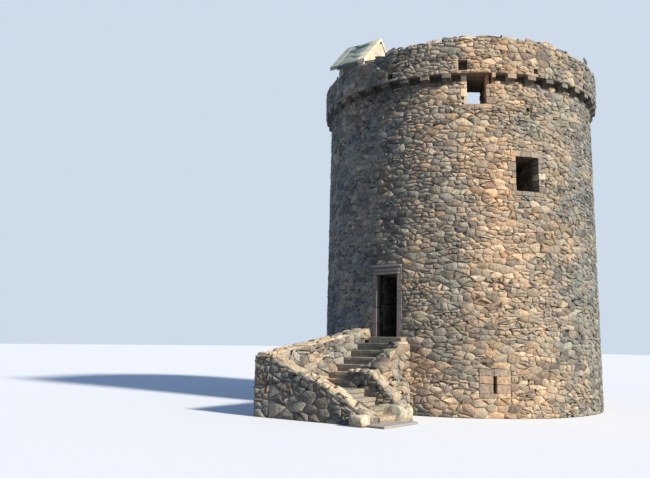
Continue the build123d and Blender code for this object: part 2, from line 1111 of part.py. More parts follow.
with BuildPart() as stair_inner_wall:
    step_block(
        [
            (step_right_foot_x, inner_wall_front),
            (step_right_foot_x, upper_foot_y),
            (step_right_x(inner_wall_back), inner_wall_back),
            (inner_wall_end_x, inner_wall_back),
            (inner_wall_end_x, inner_wall_front),
        ],
        0,
        inner_wall_top,
    )
    with BuildSketch(Plane.XZ):
        outline(
            [
                (inner_wall_bend_x, inner_wall_top),
                (inner_wall_end_x, inner_wall_end_top),
                (inner_wall_end_x + clear, inner_wall_end_top),
                (inner_wall_end_x + clear, inner_wall_top + clear),
                (inner_wall_bend_x, inner_wall_top + clear),
            ]
        )
    extrude(amount=2 * base_radius, mode=Mode.SUBTRACT)
save(stair_inner_wall.part, "stair_inner_wall")

with BuildPart() as stair_right_wall:
    step_block(
        [
            (step_right_x(inner_wall_back), inner_wall_back),
            (step_right_top_x, top_landing_front),
            (step_right_top_x, -head_step),
            (stair_right_x, -head_step),
            (stair_right_x, inner_wall_back),
        ],
        0,
        top_landing_level,
    )
    with BuildSketch(Plane.YZ):
        outline(
            [
                (top_landing_front, top_landing_level),
                (inner_wall_back, right_wall_front_top),
                (inner_wall_back - clear, right_wall_front_top),
                (inner_wall_back - clear, top_landing_level + clear),
                (top_landing_front, top_landing_level + clear),
            ]
        )
    extrude(amount=base_radius, both=True, mode=Mode.SUBTRACT)
    cut_tower()
save(stair_right_wall.part, "stair_right_wall")
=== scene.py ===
"""Looks of a round rubble tower keep with a forestair, a parapet on corbels and a
gabled cap-house.

Metres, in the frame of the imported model: the origin is on the tower's axis at ground
level, +Z is up and the entrance door faces -Y. Angles are in degrees, anticlockwise
from +X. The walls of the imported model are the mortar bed. Every stone is a shape of
its own that stands a little proud of it.
"""

import math
import random

import bmesh
import bpy
from bpy.props import FloatProperty, FloatVectorProperty, IntProperty, PointerProperty
from bpy.types import Operator, Panel, PropertyGroup
from mathutils import Matrix, Vector, kdtree, noise
from mathutils.bvhtree import BVHTree


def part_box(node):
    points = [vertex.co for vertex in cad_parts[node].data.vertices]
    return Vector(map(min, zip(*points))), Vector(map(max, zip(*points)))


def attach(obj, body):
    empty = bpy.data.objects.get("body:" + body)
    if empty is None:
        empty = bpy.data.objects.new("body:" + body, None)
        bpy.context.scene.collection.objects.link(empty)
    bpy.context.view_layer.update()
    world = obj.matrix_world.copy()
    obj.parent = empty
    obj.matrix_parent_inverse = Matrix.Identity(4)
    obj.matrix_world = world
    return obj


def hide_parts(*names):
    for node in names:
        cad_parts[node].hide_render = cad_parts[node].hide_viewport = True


bl_info = {
    "name": "Round Tower Keep",
    "version": (1, 0, 0),
    "blender": (4, 5, 0),
    "location": "View3D > Sidebar > Tower Keep",
    "description": "Lays the stones of a round tower keep on its packed model",
    "category": "Object",
}

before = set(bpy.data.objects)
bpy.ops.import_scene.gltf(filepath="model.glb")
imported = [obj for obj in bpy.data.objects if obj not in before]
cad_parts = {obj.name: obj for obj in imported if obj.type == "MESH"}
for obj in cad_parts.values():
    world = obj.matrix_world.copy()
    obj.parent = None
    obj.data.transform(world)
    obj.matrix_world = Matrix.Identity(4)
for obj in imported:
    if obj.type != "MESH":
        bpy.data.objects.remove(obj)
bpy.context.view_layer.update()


def low(node):
    """A node's lowest corner."""
    return Vector(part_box(node)[0])


def high(node):
    """A node's highest corner."""
    return Vector(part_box(node)[1])


UP = Vector((0, 0, 1))

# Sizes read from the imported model
BASE_RADIUS = -low("cellar_wall_left").x
HEAD_RADIUS = high("corbel_infill").x
PARAPET_RADIUS = high("corbel_stones").x
WALL_HEAD = high("corbel_infill").z
CORBEL_BASE = low("corbel_infill").z
HALL_RADIUS = high("hall_floor").x
HALL_LEVEL = high("hall_floor").z
WALK_LEVEL = high("wall_walk_flags").z
PARAPET_INNER = high("wall_walk_flags").x

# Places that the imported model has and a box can't give
SECOND_LEVEL = 5.2
THIRD_LEVEL = 7.8
SECOND_RADIUS = HALL_RADIUS + 0.15
THIRD_RADIUS = HALL_RADIUS + 0.30
CORBEL_START = -50
CORBEL_PITCH = 8
CORBEL_ANGLE = 3.4
DRAIN_START = -60
DRAIN_COUNT = 13
DOOR_ANGLE = -90
DOOR_HEAD = 3.93
HIGH_ANGLE = -54.9
SECOND_ANGLE = -35.6
SLIT_ANGLE = -50
PUTLOG_ANGLE = -34.5
BACK_ANGLE = 90
LEFT_ANGLE = 180

# The parapet's top in each step round the tower, from +X
PARAPET_ARC = 22.5
PARAPET_TOPS = (
    *(10.61, 10.58, 10.64, 10.68, 10.665, 10.62, 10.59, 10.56),
    *(10.54, 10.525, 10.50, 10.50, 10.63, 10.715, 10.70, 10.605),
)

# Each window's angle, half its width, and its opening's foot and head
WINDOWS = (
    (HIGH_ANGLE, 0.275, 8.81, WALL_HEAD),
    (SECOND_ANGLE, 0.365, 6.29, 7.3),
    (LEFT_ANGLE, 0.3, 6.29, 7.24),
    (BACK_ANGLE, 0.3, 3.25, 4.2),
    (BACK_ANGLE, 0.3, 8.4, 9.2),
)
WINDOW_JAMB = 0.15
SILL_HEIGHT = 0.13
LINTEL_HEIGHT = 0.17

# The other gaps in the tower's face, with their worked stone, given in the same way
DOOR_GAP = (DOOR_ANGLE, 0.5, HALL_LEVEL - 0.1, 4.21)
SLIT_GAP = (SLIT_ANGLE, 0.43, 0.54, 1.31)
CELLAR_DOOR_GAP = (BACK_ANGLE, 0.555, -0.1, 1.82)
PUTLOG_GAP = (PUTLOG_ANGLE, 0.075, 8.65, 8.8)

# Each room's radius, floor and head, and the gaps in its face
ROOMS = {
    "hall": (HALL_RADIUS, HALL_LEVEL, SECOND_LEVEL),
    "second": (SECOND_RADIUS, SECOND_LEVEL, THIRD_LEVEL),
    "third": (THIRD_RADIUS, THIRD_LEVEL, WALL_HEAD),
}
ROOM_GAPS = {
    "hall": ((DOOR_ANGLE, 0.4, 2.1, DOOR_HEAD), (BACK_ANGLE, 0.5, 3.25, 4.2)),
    "second": ((SECOND_ANGLE, 0.45, 6.29, 7.3), (LEFT_ANGLE, 0.49, 6.29, 7.24)),
    "third": ((HIGH_ANGLE, 0.35, 8.81, 9.7), (BACK_ANGLE, 0.47, 8.4, 9.2)),
}

# The boulders at the stair's foot: middle, size and tone
FRONT_END = high("stair_front_wall")
INNER_END = high("stair_inner_wall")
FOOT_STONES = (
    ((FRONT_END.x - 0.16, low("stair_front_wall").y + 0.2, 0.12), (0.46, 0.42, 0.32), 0.25),
    ((INNER_END.x - 0.38, low("stair_inner_wall").y + 0.13, 0.2), (0.95, 0.74, 0.5), 0.75),
)

# Where a bed bent round the tower begins and ends
SEAM_ANGLE = 45

# How stones are laid. Lengths and reaches count in usual stones, shares in all stones
STONE_LENGTHS = (0.35, 0.5, 0.7, 0.9, 1.1, 1.4, 1.9)
PAIR_SHARE = 0.22
MISSING_SHARE = 0.07
BIG_SHARE = 0.07
BIG_REACH = 1.6
USUAL_REACH = 0.46
CELL_REACH = 1.6
NEIGHBOURS = 13
LEAST_AREA = 0.04

# How worked stones are cut
JAMB_HEIGHT = 0.22
JAMB_TONES = (0.1, 0.3, 0.7, 0.9)
PALE_JAMB_LEVEL = 6.75
UNCUT = 100

# What all bevels share
BEVEL = {"profile": 0.5, "material": -1}

# Noise has the clock for its seed unless it gets one
NOISE_SEED = 5

# Camera, as the photograph was taken
EYE = Vector((11.157, -21.386, 2.0))
HEADING = 38.4
PITCH = 8.26
ROLL = 1.0
FOCAL_PIXELS = 700
PHOTO_WIDTH = 650
SENSOR = 36.0

# Light
SUN_SIDE = Vector((1.0, -0.02, 0.6))
SUN_ANGLE = 6
SUN_COLOUR = (1.0, 0.95, 0.87)
SKY_LIGHT = (0.15, 0.25, 0.46)
SKY_SEEN = (0.62, 0.71, 0.82)
FLOOR_LIGHT = 0.3


def flat(x, y):
    """A place or a direction on a level."""
    return Vector((x, y, 0))


def polar(angle, reach=1.0, z=0.0):
    """A place by its angle in radians and its distance from the tower's axis."""
    return Vector((reach * math.cos(angle), reach * math.sin(angle), z))


def outer_radius(z):
    """The tower's radius at a height."""
    return BASE_RADIUS + (HEAD_RADIUS - BASE_RADIUS) * z / WALL_HEAD


def even(radius):
    """The radius of a wall that is the same at every height."""
    return lambda z: radius


def window_blocks(index):
    """A window's jamb stones, long and short: (foot, head, width before, width after)."""
    _, _, foot, head = WINDOWS[index]
    rng = random.Random(40 + index)
    count = round((head - foot) / 0.2)
    step = (head - foot) / count
    levels = [foot + step * (i + rng.uniform(-0.25, 0.25)) for i in range(1, count)]
    for i, (bottom, top) in enumerate(zip([foot, *levels], [*levels, head])):
        widths = rng.uniform(0.07, 0.13), rng.uniform(0.16, 0.29)
        yield bottom, top, widths[i % 2], widths[1 - i % 2]


# Laying stones


def cut_off(bm, point, out):
    """Cuts a mesh with a plane, and drops what lies on the plane's outer side."""
    bmesh.ops.bisect_plane(
        bm,
        geom=bm.verts[:] + bm.edges[:] + bm.faces[:],
        dist=1e-6,
        plane_co=point,
        plane_no=out,
        clear_outer=True,
    )


class Bed:
    """A flat bed of stones, laid in rough courses, to be bent or turned into place.

    x runs along the wall, y up it and z out of it. A hole is (left, right, bottom,
    top). A border is the bed's outline, anticlockwise, where it isn't a rectangle.
    A bed with a loop ends where it begins. Sites that are hidden get no stone.
    """

    def __init__(self, width, height, length, course, seed, **choices):
        self.width, self.height = width, height
        self.length, self.course = length, course
        self.stretch = length / course
        self.grain = min(course, 0.2)
        self.holes = choices.get("holes", ())
        self.border = choices.get("border")
        self.loop = choices.get("loop", False)
        self.hidden = choices.get("hidden")
        self.rng = random.Random(seed)
        self.sites = []
        if self.border is None and not self.loop:
            corners = ((0, 0), (width, 0), (width, height), (0, height))
            self.border = [flat(x, y) for x, y in corners]

    def edges(self):
        """The border's edges, each with its direction out of the bed."""
        if self.border:
            for first, second in zip(self.border, self.border[1:] + self.border[:1]):
                along = second - first
                if along.length > 1e-5:
                    yield first, second, flat(along.y, -along.x).normalized()

    def inside(self, site):
        """Whether a place is inside the border, counted by the edges to its right."""
        if not self.border:
            return 0 < site.y < self.height
        crossings = 0
        for first, second, _ in self.edges():
            if (first.y > site.y) != (second.y > site.y):
                share = (site.y - first.y) / (second.y - first.y)
                crossings += site.x < first.x + share * (second.x - first.x)
        return crossings % 2 == 1

    def place_sites(self):
        """Sets out the middle of each stone, course by course."""
        rng = self.rng
        places = []
        y = 0.0
        while y < self.height - 1e-6:
            tall = self.course * rng.uniform(0.7, 1.5)
            if self.height - y - tall < 0.45 * self.course:
                tall = self.height - y
            x = rng.uniform(-0.5, 0.0) * self.length
            while x < self.width:
                wide = self.length * rng.choice(STONE_LENGTHS)
                lift = rng.uniform(-0.3, 0.3) * tall
                site = flat(x + wide / 2, y + tall / 2 + lift)
                if wide > 0.8 * self.length and rng.random() < PAIR_SHARE:
                    for side in (1, -1):
                        step = flat(rng.uniform(-0.1, 0.1) * wide, 0.28 * tall)
                        places.append(site + side * step)
                elif rng.random() > MISSING_SHARE:
                    places.append(site)
                x += wide
            y += tall
        for site in places:
            if self.loop and not 0 <= site.x < self.width:
                continue
            site = self.clear_of_holes(site)
            if site and self.inside(site) and not (self.hidden and self.hidden(site)):
                self.sites.append(site)
        self.thin_out()

    def site_tree(self, shifts=(0,)):
        """A search tree of the sites, in which a stone is as long as it is high."""
        tree = kdtree.KDTree(len(shifts) * len(self.sites) + 1)
        for i, site in enumerate(self.sites):
            for shift in shifts:
                tree.insert(((site.x + shift) / self.stretch, site.y, 0), i)
        tree.balance()
        return tree

    def thin_out(self):
        """Drops the sites that lie too near another for a stone between them."""
        tree = self.site_tree()
        dropped = set()
        for i, site in enumerate(self.sites):
            if i in dropped:
                continue
            big = self.rng.random() < BIG_SHARE
            reach = (BIG_REACH if big else USUAL_REACH) * self.course
            for _, j, _ in tree.find_range((site.x / self.stretch, site.y, 0), reach):
                if j != i:
                    dropped.add(j)
        self.sites = [site for i, site in enumerate(self.sites) if i not in dropped]

    def clear_of_holes(self, site):
        """Moves a site just inside a hole out of it, and drops one deep inside."""
        for left, right, bottom, top in self.holes:
            if left < site.x < right and bottom < site.y < top:
                wide, tall = self.length, self.course
                sides = (
                    ((site.x - left) / wide, flat(left - 0.25 * wide, site.y)),
                    ((right - site.x) / wide, flat(right + 0.25 * wide, site.y)),
                    ((site.y - bottom) / tall, flat(site.x, bottom - 0.3 * tall)),
                    ((top - site.y) / tall, flat(site.x, top + 0.3 * tall)),
                )
                depth, place = min(sides, key=lambda side: side[0])
                return place if depth < 0.45 and self.open_at(place) else None
        return site

    def open_at(self, place):
        """Whether a place is in none of the holes."""
        return not any(
            left < place.x < right and bottom < place.y < top
            for left, right, bottom, top in self.holes
        )

    def lines_round(self, site, near):
        """The lines that bound one stone, as (point, direction out of it)."""
        for other in near:
            step = other - site
            out = flat(step.x / self.stretch**2, step.y)
            if out.length > 1e-6:
                yield (site + other) / 2, out.normalized()
        for left, right, bottom, top in self.holes:
            gaps = (
                (left - site.x, flat(left, site.y), flat(1, 0)),
                (site.x - right, flat(right, site.y), flat(-1, 0)),
                (bottom - site.y, flat(site.x, bottom), flat(0, 1)),
                (site.y - top, flat(site.x, top), flat(0, -1)),
            )
            gap, point, out = max(gaps, key=lambda side: side[0])
            if -1e-6 < gap < 3 * self.length:
                yield point, out
        for first, _, out in self.edges():
            if (site - first).dot(out) < 0:
                yield first, out
        if self.loop:
            yield flat(0, 0), flat(0, -1)
            yield flat(0, self.height), flat(0, 1)

    def outlines(self):
        """Yields each stone's outline, its site and its own random number."""
        self.place_sites()
        tree = self.site_tree((0, -self.width, self.width) if self.loop else (0,))
        size = CELL_REACH * self.length
        cell = bmesh.new()
        for site in self.sites:
            near = []
            found = tree.find_n((site.x / self.stretch, site.y, 0), NEIGHBOURS)
            for place, _, gap in found:
                if gap > 1e-6:
                    near.append(flat(place.x * self.stretch, place.y))
            cell.clear()
            place = Matrix.Translation(site)
            bmesh.ops.create_grid(cell, x_segments=1, y_segments=1, size=size, matrix=place)
            for point, out in self.lines_round(site, near):
                if cell.faces:
                    cut_off(cell, point, out)
            number = self.rng.random()
            for face in cell.faces[:1]:
                if face.calc_area() > LEAST_AREA * self.length * self.course:
                    yield [v.co.copy() for v in face.verts], site, number
        cell.free()


def lay(bed, joint, proud, rough=1.0, parts=1):
    """Lays a bed's stones: separate faces with round corners, raised off the mortar."""
    bm = bmesh.new()
    tone = bm.faces.layers.float.new("tone")
    part = bm.faces.layers.int.new("part")
    for outline, site, number in bed.outlines():
        face = bm.faces.new([bm.verts.new(point) for point in outline])
        face[tone] = number
        face[part] = int(parts * site.x / bed.width) % parts
    bmesh.ops.dissolve_degenerate(bm, edges=bm.edges, dist=0.08 * bed.grain)
    bm.normal_update()
    for face in bm.faces:
        if face.normal.z < 0:
            face.normal_flip()
    ring = bmesh.ops.inset_individual(bm, faces=bm.faces[:], thickness=joint / 2)["faces"]
    bmesh.ops.delete(bm, geom=ring, context="FACES")
    corner = 0.14 * bed.grain
    bmesh.ops.bevel(bm, geom=bm.verts[:], affect="VERTICES", offset=corner, segments=1, **BEVEL)
    # Bevel leaves gaps that new faces fill in another order each run. A copy has none
    gappy, bm = bm, bm.copy()
    gappy.free()
    rng = bed.rng
    for v in bm.verts:
        v.co.x += rng.gauss(0, 0.045 * bed.grain) * rough
        v.co.y += rng.gauss(0, 0.045 * bed.grain) * rough
    stones = bm.faces[:]
    for face in stones:
        if face.normal.z < 0:
            face.normal_flip()
    side = 0.07 * bed.grain
    bmesh.ops.inset_individual(bm, faces=stones, thickness=side, depth=0.6 * proud)
    for face in stones:
        lift = rng.uniform(-0.3, 0.3) * proud * rough
        size = max(bed.grain, math.sqrt(face.calc_area()))
        lean = flat(rng.gauss(0, 0.4), rng.gauss(0, 0.45)) * rough * proud / size
        middle = face.calc_center_median()
        for v in face.verts:
            v.co.z += lift + lean.dot(v.co - middle) + rng.gauss(0, 0.08) * proud * rough
            v.co.z = min(max(v.co.z, 0.15 * proud), 1.4 * proud)
    side = 0.12 * bed.grain
    bmesh.ops.inset_individual(bm, faces=stones, thickness=side, depth=0.3 * proud)
    sizes = [math.sqrt(face.calc_area()) for face in stones]
    crowns = bmesh.ops.poke(bm, faces=stones, offset=0.0, center_mode="MEAN")["verts"]
    for v, size in zip(crowns, sizes):
        v.co += flat(rng.gauss(0, 0.17) * size, rng.gauss(0, 0.13) * size)
        v.co.z += rng.uniform(0.0, 0.45) * proud * rough
    return bm


def bend_round(bm, radius, start, bottom, inward=False):
    """Bends a flat bed round the tower's axis. Inward faces look at the axis."""
    reference = radius(bottom)
    for v in bm.verts:
        z = bottom + v.co.y
        turn, out = v.co.x / reference, v.co.z
        if inward:
            turn, out = -turn, -out
        v.co = polar(math.radians(start) + turn, radius(z) + out, z)


def spread_ring(bm, inner, start, level):
    """Lays a flat bed on a level ring: its y runs outwards from an inner radius."""
    for v in bm.verts:
        angle = math.radians(start) - v.co.x / inner
        v.co = polar(angle, inner + v.co.y, level + v.co.z)


def surround_holes(start, radius, spans):
    """Openings as holes of a bed that is bent round the tower from an angle."""
    holes = []
    for angle, half, bottom, top in spans:
        middle = math.radians((angle - start) % 360) * radius
        holes.append((middle - half, middle + half, bottom, top))
    return holes


def mirrored(holes, width):
    """The same holes in a bed that is seen from inside, so that it runs the other way."""
    return [(width - right, width - left, bottom, top) for left, right, bottom, top in holes]


def round_face(radius, start, levels, holes, seed, scale=1.0, relief=1.0, inward=False, parts=1):
    """Lays rubble round the tower's axis, from an angle on and between two levels."""
    sizes = bpy.context.scene.keep_sizes
    bottom, top = levels
    width = 2 * math.pi * radius(bottom)
    length, course = scale * sizes.stone_length, scale * sizes.stone_height
    holes = mirrored(holes, width) if inward else holes
    bed = Bed(width, top - bottom, length, course, sizes.seed + seed, loop=True, holes=holes)
    bm = lay(bed, sizes.joint, relief * sizes.proud, sizes.roughness, parts)
    bend_round(bm, radius, start, bottom, inward)
    return bm


def clean_copy(node):
    """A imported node's mesh, merged, with its flat faces whole."""
    bm = bmesh.new()
    bm.from_mesh(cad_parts[node].data)
    bmesh.ops.remove_doubles(bm, verts=bm.verts[:], dist=1e-5)
    limit = math.radians(0.6)
    bmesh.ops.dissolve_limit(bm, angle_limit=limit, verts=bm.verts[:], edges=bm.edges[:])
    return bm


def packed_solids():
    """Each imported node's box and search tree, to tell what lies inside the masonry."""
    solids = []
    for name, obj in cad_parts.items():
        bm = bmesh.new()
        bm.from_mesh(obj.data)
        solids.append((low(name), high(name), BVHTree.FromBMesh(bm)))
        bm.free()
    return solids


SOLIDS = packed_solids()
PROBE = Vector((0.21, 0.34, 0.917)).normalized()


def buried(point):
    """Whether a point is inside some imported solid."""
    for bottom, top, tree in SOLIDS:
        if all(a < b < c for a, b, c in zip(bottom, point, top)):
            place, normal, _, _ = tree.ray_cast(point, PROBE)
            if place is not None and normal.dot(PROBE) > 0:
                return True
    return False


def flat_beds(node, wanted, length, course, seed, least=0.03):
    """Yields (bed, matrix) for each flat face of a node that is wanted and shows."""
    bm = clean_copy(node)
    for i, face in enumerate(bm.faces):
        normal = face.normal.copy()
        if face.calc_area() < least or not wanted(normal, face.calc_center_median()):
            continue
        if abs(normal.z) < 0.9:
            along = UP.cross(normal).normalized()
        else:
            ends = max(face.edges, key=lambda edge: edge.calc_length()).verts
            along = (ends[1].co - ends[0].co).normalized()
            along = (along - normal * along.dot(normal)).normalized()
        up = normal.cross(along)
        local = [(v.co.dot(along), v.co.dot(up)) for v in face.verts]
        left, bottom = min(x for x, _ in local), min(y for _, y in local)
        right, top = max(x for x, _ in local), max(y for _, y in local)
        border = [flat(x - left, y - bottom) for x, y in local]
        matrix = Matrix((along, up, normal)).transposed().to_4x4()
        matrix.translation = along * left + up * bottom + normal * face.verts[0].co.dot(normal)

        def hidden(site, matrix=matrix, normal=normal):
            return buried(matrix @ site + normal * 0.04)

        size = right - left, top - bottom, length, course
        yield Bed(*size, seed + i, border=border, hidden=hidden), matrix
    bm.free()


def add_mesh(whole, part):
    """Adds one mesh to another, and frees it."""
    mesh = bpy.data.meshes.new("part")
    part.to_mesh(mesh)
    part.free()
    whole.from_mesh(mesh)
    bpy.data.meshes.remove(mesh)


def new_stones():
    """An empty mesh for stones, each with a tone of its own."""
    bm = bmesh.new()
    bm.faces.layers.float.new("tone")
    bm.faces.layers.int.new("part")
    return bm


def dress_faces(nodes, wanted, length, course, joint, proud, seed, rough=1.0):
    """Lays stones on the flat faces of some nodes."""
    whole = new_stones()
    for i, node in enumerate(nodes):
        for bed, matrix in flat_beds(node, wanted, length, course, seed + 1000 * i):
            stones = lay(bed, joint, proud, rough)
            stones.transform(matrix)
            add_mesh(whole, stones)
    return whole


# Cutting worked stones


def solids_of(node):
    """Yields a node's mesh with the faces of each separate solid in it."""
    source = clean_copy(node)
    source.faces.index_update()
    seen = set()
    for first in source.faces:
        if first in seen:
            continue
        seen.add(first)
        group, edge = [], [first]
        while edge:
            face = edge.pop()
            group.append(face)
            for line in face.edges:
                for other in line.link_faces:
                    if other not in seen:
                        seen.add(other)
                        edge.append(other)
        yield source, group
    source.free()


def slice_out(source, group, planes):
    """One block of a solid, cut off outside some planes: (point, direction outwards)."""
    keep = {face.index for face in group}
    block = source.copy()
    block.faces.index_update()
    extra = [face for face in block.faces if face.index not in keep]
    bmesh.ops.delete(block, geom=extra, context="FACES")
    for point, out in planes:
        cut_off(block, point, out)
        rim = [edge for edge in block.edges if edge.is_boundary]
        bmesh.ops.holes_fill(block, edges=rim, sides=0)
    bmesh.ops.recalc_face_normals(block, faces=block.faces[:])
    return block


def planes_between(first, last, direction, joint):
    """The planes that bound a block between two lines. None stands for no line."""
    planes = []
    if first is not None:
        planes.append((direction * (first + joint / 2), -direction))
    if last is not None:
        planes.append((direction * (last - joint / 2), direction))
    return planes


def split_planes(first, last, size, direction, joint, rng):
    """Pairs of planes that share a length out between blocks of about a size."""
    count = max(1, round((last - first) / size))
    lines = [first + (last - first) * i / count for i in range(1, count)]
    lines = [line + rng.uniform(-0.2, 0.2) * size for line in lines]
    for before, after in zip([None, *lines], [*lines, None]):
        yield planes_between(before, after, direction, joint)


def add_toned(whole, stone, number):
    """Gives a stone its tone and adds it to a piece."""
    tone = stone.faces.layers.float.get("tone") or stone.faces.layers.float.new("tone")
    for face in stone.faces:
        face[tone] = number
    add_mesh(whole, stone)


def add_block(whole, block, bevel, rough, number):
    """Wears a block and adds it to a piece."""
    wear(block, bevel, rough)
    add_toned(whole, block, number)


def cut_blocks(nodes, course, joint, bevel, rough, seed, length=UNCUT):
    """Cuts the solids of some nodes into worked blocks with worn edges."""
    rng = random.Random(seed)
    whole = new_stones()
    for node in nodes:
        for source, group in solids_of(node):
            points = [v.co.copy() for face in group for v in face.verts]
            middle = sum(points, Vector()) / len(points)
            along = UP.cross(flat(middle.x, middle.y)).normalized()
            levels = [point.z for point in points]
            reach = [point.dot(along) for point in points]
            for row in list(split_planes(min(levels), max(levels), course, UP, joint, rng)):
                for column in split_planes(min(reach), max(reach), length, along, joint, rng):
                    block = slice_out(source, group, row + column)
                    add_block(whole, block, bevel, rough, rng.random())
    return whole


def cut_jambs(node, joint, bevel, rough, seed):
    """Cuts the windows' jambs into long and short blocks, toothed into the rubble."""
    rng = random.Random(seed)
    whole = new_stones()
    for source, group in solids_of(node):
        middle = sum((face.calc_center_median() for face in group), Vector()) / len(group)
        for i, (angle, half, foot, head) in enumerate(WINDOWS):
            out = polar(math.radians(angle))
            along = UP.cross(out)
            if middle.dot(out) < 3 or abs(middle.dot(along)) > 1 or not foot < middle.z < head:
                continue
            after = middle.dot(along) > 0
            for bottom, top, *widths in window_blocks(i):
                ends = bottom if bottom > foot else None, top if top < head else None
                block = slice_out(source, group, planes_between(*ends, UP, joint))
                for v in block.verts:
                    if abs(v.co.dot(along)) > half + 0.6 * WINDOW_JAMB:
                        wider = widths[after] - joint / 2 - WINDOW_JAMB
                        v.co += along * (wider if after else -wider)
                # The high window has one pale jamb, the second-floor window one pale stone
                pale = not after if i == 0 else i == 1 and after and bottom < PALE_JAMB_LEVEL < top
                add_block(whole, block, bevel, rough, 0.5 if pale else rng.choice(JAMB_TONES))
            break
        else:
            levels = [v.co.z for face in group for v in face.verts]
            for planes in split_planes(min(levels), max(levels), JAMB_HEIGHT, UP, joint, rng):
                block = slice_out(source, group, planes)
                add_block(whole, block, bevel, rough, rng.choice(JAMB_TONES))
    return whole


def wear(bm, bevel, rough):
    """Rounds the sharp edges of a block and makes them a little uneven."""
    for cuts, least in ((3, 0.8), (1, 0.25)):
        long_edges = [edge for edge in bm.edges if edge.calc_length() > least]
        bmesh.ops.subdivide_edges(bm, edges=long_edges, cuts=cuts, use_grid_fill=True)
    turn = math.radians(20)
    sharp = [edge for edge in bm.edges if edge.is_manifold and edge.calc_face_angle(0) > turn]
    shape = {"segments": 2, "clamp_overlap": True, **BEVEL}
    bmesh.ops.bevel(bm, geom=sharp, affect="EDGES", offset=bevel, **shape)
    for v in bm.verts:
        v.co += noise.noise_vector(v.co * 5.3) * rough


def finish_piece(name, bm, finish, slot="rubble_stone", smooth=True):
    """Makes an object of a mesh, and gives it its material and its body."""
    mesh = bpy.data.meshes.new(name)
    for v in bm.verts:
        v.co.z = max(v.co.z, 0.0)
    bm.to_mesh(mesh)
    bm.free()
    for polygon in mesh.polygons:
        polygon.use_smooth = smooth
    mesh.materials.append(material(finish))
    obj = bpy.data.objects.new(name, mesh)
    bpy.context.scene.collection.objects.link(obj)
    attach(obj, "root")
    return obj


# Materials

# Noise scales, from the widest changes of colour to the finest grain
WIDE_SCALE = 0.7
SIDE_SCALE = 0.9
BED_SCALE = 1.7
LICHEN_SCALE = 3.5
MOTTLE_SCALE = 14
GRAIN_SCALE = 22
GROWTH_SCALE = 30

# Colour by place on a surface
MOTTLE = [(0.3, (0.5, 0.5, 0.5)), (0.7, (1.4, 1.34, 1.22))]
WIDE = [(0.34, (0.66, 0.75, 0.78)), (0.5, (1.0, 0.97, 0.93)), (0.66, (1.25, 1.1, 0.94))]

# Colour by the side of the tower, from the side away from GREY_SIDE to that side: painted light.
# It paints bluish shade on the side away from the key light, darkest at the edge of its light,
# warm light where that light falls fullest, and darker grey towards GREY_SIDE
GREY_SIDE = 27.6
SIDES = [
    (0.0, (0.74, 0.87, 1.05)),
    (0.17, (0.8, 0.86, 0.96)),
    (0.28, (0.54, 0.59, 0.65)),
    (0.37, (0.84, 0.85, 0.87)),
    (0.46, (1.0, 0.98, 0.97)),
    (0.6, (1.2, 1.08, 0.98)),
    (0.73, (1.0, 0.95, 0.9)),
    (0.95, (0.56, 0.65, 0.75)),
]

# Finishes that share a trait
SMOOTH = ("cope", "skew", "dressed", "landing")
TONELESS = ("mortar", "recess")
# Finishes with painted light and shade by the side of the tower
SIDED = ("rubble", "mortar", "quoin", "corbel", "lintel")
PAINTED_SHADE_FINISHES = ("mortar", "quoin", "lintel", "dressed", "corbel")

# Radii between which the painted shade of an opening fades, and how dark it is
DOOR_SHADE = (4.2, 4.34, 0.1)
WINDOW_SHADE = (3.95, 4.22, 0.28)

# A finish's fineness of grain, depth of relief and strength of lichen
USUAL_GRAIN = (1.2, 0.5, 1.0)
GRAINS = {
    "rubble": (1.0, 0.8, 1.0),
    "mortar": (2.0, 0.9, 1.0),
    "landing": (1.4, 0.4, 1.0),
    "boulder": (0.8, 0.7, 1.0),
    "edge": (1.2, 0.7, 1.0),
    "damp": (1.0, 0.55, 0.4),
    "recess": (1.5, 0.6, 0.2),
    "dressed": (1.6, 0.35, 1.0),
    "cope": (1.3, 0.4, 1.3),
    "skew": (1.3, 0.4, 1.3),
    "corbel": (1.2, 0.6, 1.0),
    "paving": (1.2, 0.45, 1.0),
}


def feed(tree, socket, value):
    """Gives a socket its value: another node's output, a colour, a place or a number."""
    if isinstance(value, bpy.types.NodeSocket):
        tree.links.new(value, socket)
    elif socket.type == "RGBA":
        socket.default_value = (*value, 1.0)
    else:
        socket.default_value = value


def add_node(tree, kind, *values, operation=None, **named):
    """Adds a shader node, and feeds its sockets in their order or by name."""
    node = tree.nodes.new("ShaderNode" + kind)
    if operation:
        node.operation = operation
    for socket, value in zip(node.inputs, values):
        feed(tree, socket, value)
    for name, value in named.items():
        feed(tree, node.inputs[name.replace("_", " ")], value)
    return node


def speckle(tree, scale, detail=4.0):
    """Noise on Object coordinates, finer with a larger scale."""
    place = add_node(tree, "TexCoord").outputs["Object"]
    sockets = {"Vector": place, "Scale": scale, "Detail": detail, "Roughness": 0.6}
    return add_node(tree, "TexNoise", **sockets).outputs["Fac"]


def ramp(tree, factor, stops, interpolation="LINEAR"):
    """Turns a number into a colour through some stops."""
    node = add_node(tree, "ValToRGB", factor)
    node.color_ramp.interpolation = interpolation
    while len(node.color_ramp.elements) < len(stops):
        node.color_ramp.elements.new(1.0)
    for element, (position, colour) in zip(node.color_ramp.elements, stops):
        element.position = position
        element.color = (*colour, 1.0)
    return node.outputs["Color"]


def blend_colour(tree, factor, first, second, mode="MIX"):
    """Mixes two colours, each a socket or a plain colour."""
    node = add_node(tree, "Mix")
    node.data_type = "RGBA"
    node.blend_type = mode
    for i, value in ((0, factor), (6, first), (7, second)):
        feed(tree, node.inputs[i], value)
    return node.outputs[2]


def multiply(tree, first, second):
    """Multiplies two numbers."""
    return add_node(tree, "Math", first, second, operation="MULTIPLY").outputs[0]


def fade(tree, value, start, end, least=0.0):
    """Turns a number into one that goes from least at start to 1 at end."""
    limits = {"From_Min": start, "From_Max": end, "To_Min": least}
    return add_node(tree, "MapRange", Value=value, **limits).outputs["Result"]


